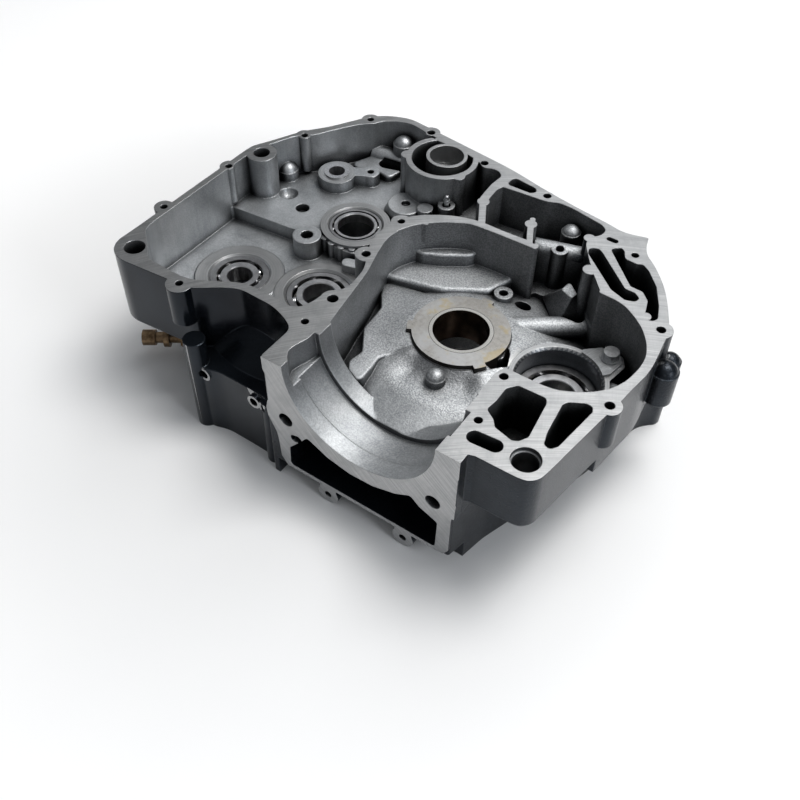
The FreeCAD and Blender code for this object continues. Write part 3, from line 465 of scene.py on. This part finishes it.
# a dark line where the alloy was cast round the insert
SEAM_R, SEAM_HALF = 31.3 * MM, 0.5 * MM
seam = kit.maths("ABSOLUTE", crank_distance - SEAM_R) < SEAM_HALF
bare = kit.mix(seam * 0.85, bare, (0.03, 0.03, 0.032, 1))
# painted shade: darker in creases and in deep recesses
bare = kit.mix(kit.band(painted_crease_shade, 0.95, 0.35) * 0.75, bare, (0.045, 0.048, 0.052, 1))
bare = kit.mix(kit.band(depth, 0.55, 0.12), bare, (0.010, 0.011, 0.012, 1))
# painted highlight: rounded edges are lightened where the surface is open
bare = kit.mix(painted_edge_highlight * kit.band(depth, 0.25, 0.6) * 0.3, bare, (0.75, 0.76, 0.77, 1))
slate = kit.ramp(cloud, (0.3, (0.007, 0.009, 0.013)), (0.75, (0.020, 0.026, 0.034)))
# painted shade in the slate's creases
slate = kit.mix(kit.band(painted_crease_shade, 0.8, 0.3) * 0.7, slate, (0.005, 0.005, 0.006, 1))
# painted highlight on the slate's edges
slate = kit.mix(painted_edge_highlight * 0.25, slate, (0.14, 0.17, 0.20, 1))
arc_streaks = cutter_marks(kit, (0.34, -0.42, 0.30), 1900, 40)
counter_streaks = cutter_marks(kit, (-0.45, -0.30, 0.35), 1300, 60)
seat_rings = kit.node("ShaderNodeCombineXYZ", {}, [seat_distance(kit) * 1600])
seat_streaks = kit.noise(1.0, 2.0, 0.6, seat_rings)
streaks = arc_streaks * 0.85 + counter_streaks * 0.15
streaks = streaks * (1 - is_turned) + seat_streaks * is_turned
stain = kit.noise(70.0, 5.0, 0.68)
milled = kit.ramp(streaks, (0.32, (0.31, 0.315, 0.32)), (0.68, (0.53, 0.53, 0.53)))
milled = kit.mix(kit.band(stain, 0.46, 0.68) * 0.5, milled, (0.30, 0.305, 0.31, 1))
# painted highlight on the crisp machined edges
milled = kit.mix(painted_fine_edge_highlight * 0.45, milled, (0.85, 0.85, 0.85, 1))
# painted shade in the corners of the turned seats
milled = kit.mix(kit.band(painted_crease_shade, 0.60, 0.2) * is_turned, milled, (0.03, 0.03, 0.032, 1))
colour = kit.mix(is_cut, kit.mix(is_coated, bare, slate), milled)
cast_rough = 0.44 + sand * 0.16 - rear * 0.08 - is_coated * 0.22 - in_well * 0.20
rough = (1 - is_cut) * cast_rough + is_cut * (0.28 + streaks * 0.16)
metal = (1 - is_cut) * (0.88 - is_coated * 0.13) + is_cut * 0.94
rounded = kit.node("ShaderNodeMix", {"data_type": "VECTOR"}, {0: is_cut, 4: soft, 5: crisp}, out=1)
lumps = (sand * 0.8 + grit * 0.4) * (1 - rear * 0.6 - mouth * 0.45 - in_well * 0.8) + cloud * 0.5
grain = kit.bump(lumps * (1 - is_cut) + streaks * is_cut * 0.05, 0.38 * MM, 0.8, rounded)
shine = kit.shader(Base_Color=colour, Roughness=rough, Metallic=metal, Normal=grain,
                   Coat_Weight=is_coated * (1 - is_cut) * 0.12, Coat_Roughness=0.14)
casting_mesh.materials.append(kit.close(shine))
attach(casting, "case")
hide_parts("crankcase_casting")


# Main bearing insert.
# A steel ring with three tabs, placed in the mould so that the alloy is cast
# round it.  Its face is turned and carries faint yellow preservative stains.
def dress(kit, names, shader):
    """Gives the finished material to the named CAD nodes."""
    finish = kit.close(shader)
    for name in names:
        slots = nodes[name].data.materials
        slots.clear()
        slots.append(finish)


# the wave texture has one ring to each 0.314 m at a scale of 1
WAVE_PITCH = 0.314


def lathe_marks(kit, axis_x, axis_y, pitch):
    """Fine rings round an upright axis: a wave of the distance from it."""
    return kit.node("ShaderNodeTexWave", {"wave_type": "RINGS", "rings_direction": "Z"}, {
        "Vector": kit.centred(axis_x, axis_y), "Scale": WAVE_PITCH / pitch,
        "Distortion": 1.5, "Detail": 2.0})


def facing_up(kit):
    """One where the surface faces up and nothing on its upright walls."""
    normal = kit.node("ShaderNodeNewGeometry", out="Normal")
    return kit.band(kit.part_of(normal, "Z"), 0.3, 0.7)


kit = Kit("insert_face")
rings = lathe_marks(kit, 0, 0, 0.5 * MM)
oil = kit.noise(48.0, 4.0, 0.62)
speck = kit.noise(420.0, 3.0, 0.6)
painted_corner_shade = kit.openness(3 * MM)
steel = kit.ramp(rings * 0.35 + speck * 0.65, (0.25, (0.26, 0.25, 0.235)), (0.75, (0.42, 0.405, 0.38)))
patches = kit.noise(22.0, 4.0, 0.65)
steel = kit.mix(kit.band(patches, 0.44, 0.60) * 0.5, steel, (0.50, 0.51, 0.53, 1))
steel = kit.mix(kit.band(oil, 0.53, 0.64) * 0.55, steel, (0.42, 0.33, 0.16, 1))
steel = kit.mix(kit.band(speck * 0.6 + oil * 0.4, 0.42, 0.30) * 0.5, steel, (0.14, 0.13, 0.12, 1))
# painted shade: darker in the insert's corners
steel = kit.mix(kit.band(painted_corner_shade, 0.8, 0.3) * 0.6, steel, (0.10, 0.09, 0.075, 1))
# painted shade: the insert's upright sides are dark, as under its rim
steel = kit.mix(facing_up(kit), (0.06, 0.055, 0.05, 1), steel)
from_shell = kit.maths("ABSOLUTE", kit.from_axis(0, 0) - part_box("main_bearing_shell")[1].x)
steel = kit.mix(from_shell < 0.3 * MM, steel, (0.03, 0.03, 0.03, 1))
dress(kit, ["main_bearing_insert"], kit.shader(
    Base_Color=steel, Metallic=0.85, Roughness=0.34 + oil * 0.2,
    Normal=kit.bump(rings * 0.4 + speck, 0.05 * MM, 0.5)))

# Main bearing shell.
# A thin split liner pressed into the insert, with an oiled dark bronze wall.
kit = Kit("shell_wall")
film = kit.noise(90.0, 3.0, 0.5)
bronze = kit.ramp(film, (0.3, (0.03, 0.02, 0.015)), (0.7, (0.12, 0.08, 0.055)))
bronze = kit.mix(facing_up(kit), bronze, (0.36, 0.35, 0.33, 1))
dress(kit, ["main_bearing_shell"], kit.shader(
    Base_Color=bronze, Metallic=0.9, Roughness=0.16 + film * 0.15,
    Normal=kit.bump(film, 0.02 * MM, 0.3)))

# Shaft bearings.
# Deep-groove ball bearings of ground chrome steel, pressed into their seats.
# The rings are polished and oiled, the pressed steel cages are duller.
SHAFTS = ["mainshaft", "countershaft", "shift_drum", "balancer"]
for shaft in SHAFTS:
    low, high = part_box(f"{shaft}_bearing_outer_ring")
    axis = (low + high) / 2
    kit = Kit(f"{shaft}_ring_steel")
    rings = lathe_marks(kit, axis.x, axis.y, 0.35 * MM)
    smear = kit.noise(140.0, 3.0, 0.6)
    painted_gap_shade = kit.openness(5 * MM)
    steel = kit.ramp(rings * 0.3 + smear * 0.7, (0.3, (0.34, 0.34, 0.35)), (0.7, (0.66, 0.66, 0.67)))
    inner = (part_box(f"{shaft}_bearing_inner_ring")[1].x - axis.x) + 0.5 * MM
    outside = kit.band(kit.from_axis(axis.x, axis.y), inner, inner + 2 * MM)
    steel = kit.mix(outside * 0.35, steel, (0.10, 0.10, 0.105, 1))
    # painted shade in the gaps between the rings and the balls
    steel = kit.mix(kit.band(painted_gap_shade, 0.80, 0.35) * 0.9, steel, (0.02, 0.02, 0.022, 1))
    dress(kit, [f"{shaft}_bearing_outer_ring", f"{shaft}_bearing_inner_ring"], kit.shader(
        Base_Color=steel, Metallic=1.0, Roughness=0.24 + smear * 0.16,
        Normal=kit.bump(rings, 0.01 * MM, 0.3)))
kit = Kit("cage_steel")
mottle = kit.noise(400.0, 3.0, 0.5)
painted_gap_shade = kit.openness(4 * MM)
steel = kit.ramp(mottle, (0.3, (0.20, 0.19, 0.18)), (0.7, (0.36, 0.34, 0.32)))
# painted shade in the cage's gaps
steel = kit.mix(kit.band(painted_gap_shade, 0.7, 0.25) * 0.8, steel, (0.02, 0.02, 0.02, 1))
dress(kit, [f"{shaft}_bearing_cage" for shaft in SHAFTS], kit.shader(
    Base_Color=steel, Metallic=0.95, Roughness=0.30 + mottle * 0.1,
    Normal=kit.bump(mottle, 0.03 * MM, 0.4)))
kit = Kit("ball_steel")
haze = kit.noise(300.0, 2.0, 0.5)
steel = kit.ramp(haze, (0.0, (0.78, 0.79, 0.80)), (1.0, (0.92, 0.92, 0.92)))
dress(kit, [f"{shaft}_bearing_balls" for shaft in SHAFTS], kit.shader(
    Base_Color=steel, Metallic=1.0, Roughness=0.05 + haze * 0.05,
    Normal=kit.bump(haze, 0.004 * MM, 0.2)))

# Shift shaft bush.
# A plain drawn steel bush pressed into the rear pad.
kit = Kit("bush_steel")
streak = kit.noise(1.0, 3.0, 0.6, kit.scaled((900, 900, 90)))
steel = kit.ramp(streak, (0.3, (0.34, 0.34, 0.35)), (0.7, (0.56, 0.56, 0.57)))
dress(kit, ["shift_shaft_bush"], kit.shader(
    Base_Color=steel, Metallic=0.95, Roughness=0.25 + streak * 0.15,
    Normal=kit.bump(streak, 0.02 * MM, 0.4)))

# Balancer retainer and oil jet.
# A stamped steel plate laps the bearing's edge, held by one plated screw on
# a washer.  The jet is a small plated spigot pressed into its boss.
kit = Kit("plate_steel")
brushed = kit.noise(1.0, 3.0, 0.6, kit.scaled((2400, 120, 120), (0, 0, 0.4)))
steel = kit.ramp(brushed, (0.3, (0.26, 0.27, 0.28)), (0.7, (0.46, 0.47, 0.48)))
dress(kit, ["balancer_retainer_plate"], kit.shader(
    Base_Color=steel, Metallic=0.95, Roughness=0.28 + brushed * 0.15,
    Normal=kit.bump(brushed, 0.02 * MM, 0.4)))
kit = Kit("zinc_plate")
spangle = kit.noise(500.0, 3.0, 0.6)
zinc = kit.ramp(spangle, (0.3, (0.42, 0.43, 0.44)), (0.7, (0.62, 0.63, 0.64)))
dress(kit, ["retainer_washer", "retainer_screw", "oil_jet"], kit.shader(
    Base_Color=zinc, Metallic=0.95, Roughness=0.25 + spangle * 0.15,
    Normal=kit.bump(spangle, 0.02 * MM, 0.3)))

# Oil line union.
# Turned from brass bar, with a hexagon and a threaded end, and screwed into
# a boss of the rear wall.
kit = Kit("aged_brass")
tarnish = kit.noise(160.0, 4.0, 0.6)
painted_corner_shade = kit.openness(4 * MM)
brass = kit.ramp(tarnish, (0.32, (0.10, 0.062, 0.032)), (0.68, (0.36, 0.25, 0.15)))
# painted shade: darker in the union's corners
brass = kit.mix(kit.band(painted_corner_shade, 0.8, 0.3) * 0.7, brass, (0.05, 0.032, 0.02, 1))
dress(kit, ["oil_line_union"], kit.shader(
    Base_Color=brass, Metallic=0.95, Roughness=0.26 + tarnish * 0.2,
    Normal=kit.bump(tarnish, 0.04 * MM, 0.5)))
